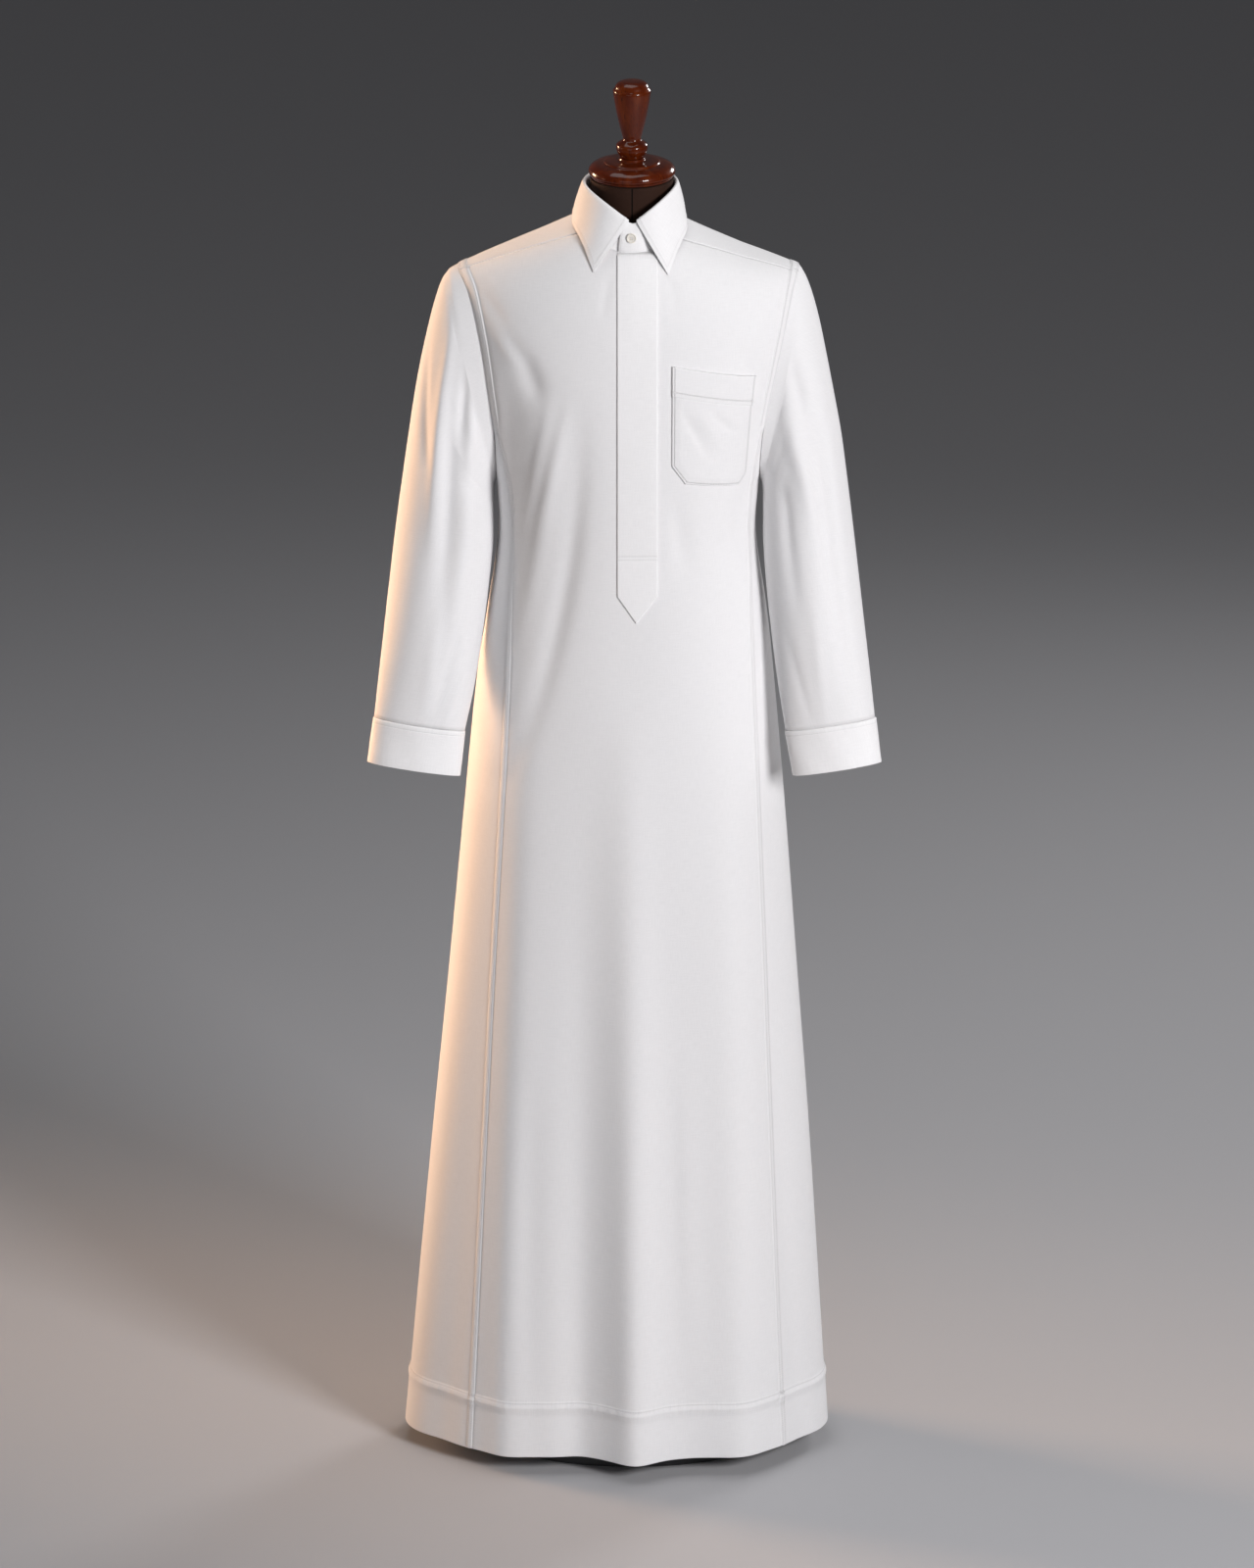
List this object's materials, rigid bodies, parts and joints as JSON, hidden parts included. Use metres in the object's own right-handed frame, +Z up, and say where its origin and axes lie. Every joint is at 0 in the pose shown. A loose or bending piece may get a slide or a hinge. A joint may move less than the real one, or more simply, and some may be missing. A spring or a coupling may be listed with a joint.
{
  "type": "thobe robe on dress form",
  "caption": "Ankle-length thobe with a shirt collar, covered placket, chest pocket and long cuffed sleeves, on a limbless dress form with a turned neck cap and floor stand.",
  "frame": {"origin": "on the floor, at the centre of the underside of the stand's base, under the pole", "axes": "+Z up, the front of the garment faces -Y, +X is the wearer's left (the pocket's side)"},
  "size_m": [0.6098, 0.3062, 1.712],
  "materials": {
    "poplin": "fine matt cotton poplin, pressed",
    "button": "ivory, satin, four holes",
    "jersey": "dark brown jersey, tightly stretched",
    "mahogany": "high-gloss varnish",
    "steel": "black satin powder coat"
  },
  "bodies": {
    "root": {"front": "poplin", "back": "poplin", "side_gore_L": "poplin", "side_gore_R": "poplin", "yoke": "poplin", "sleeve_L": "poplin", "sleeve_R": "poplin", "cuff_L": "poplin", "cuff_R": "poplin", "collar_stand": "poplin", "collar_leaf": "poplin", "placket": "poplin", "pocket": "poplin", "pocket_band": "poplin", "collar_button": "button", "form_bust": "jersey", "neck_cap": "mahogany", "finial": "mahogany", "stand_pole": "steel", "stand_base": "steel"}
  },
  "joints": []
}
